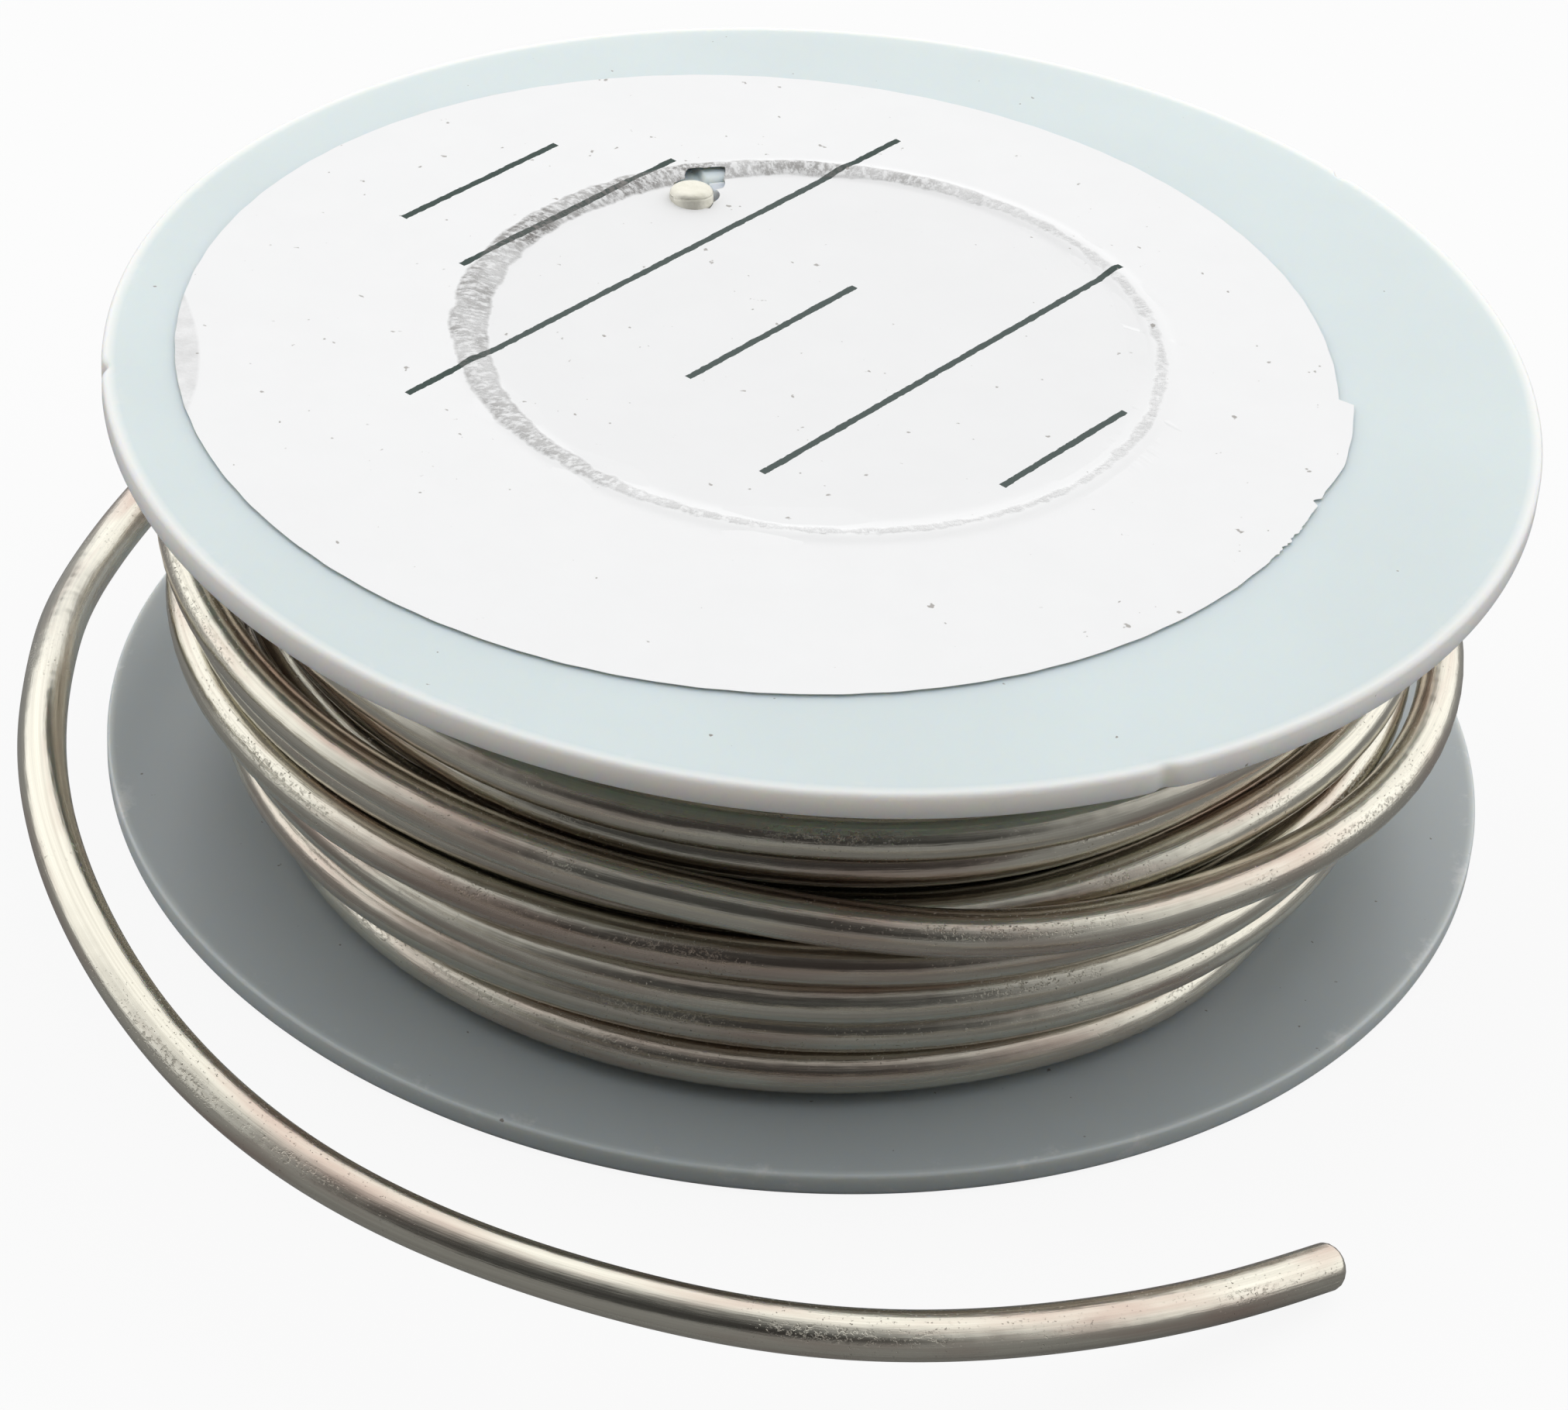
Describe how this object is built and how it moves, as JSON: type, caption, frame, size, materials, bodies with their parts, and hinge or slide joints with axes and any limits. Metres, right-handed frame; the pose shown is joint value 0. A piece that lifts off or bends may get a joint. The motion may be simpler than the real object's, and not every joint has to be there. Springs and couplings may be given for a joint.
{
  "type": "wire spool",
  "caption": "Small two-flange plastic spool wound with bare tinned copper wire, with a blank paper label on top and a springy free wire end.",
  "frame": {"origin": "centre of the lower flange's underside, which the spool stands on", "axes": "+Z along the spool's axis, from the lower flange to the labelled upper flange; the free wire end sweeps from -X round to -Y"},
  "size_m": [0.0523, 0.0635, 0.0173],
  "materials": {
    "spool_plastic": "milky natural polyethylene, satin",
    "label_paper": "uncoated white paper",
    "tinned_wire": "satin tin plating"
  },
  "bodies": {
    "root": {"lower_flange": "spool_plastic", "upper_flange": "spool_plastic", "barrel": "spool_plastic", "paper_label": "label_paper", "winding_core": "tinned_wire", "winding_outer": "tinned_wire", "wire_start": "tinned_wire", "wire_tail": "tinned_wire"}
  },
  "joints": []
}
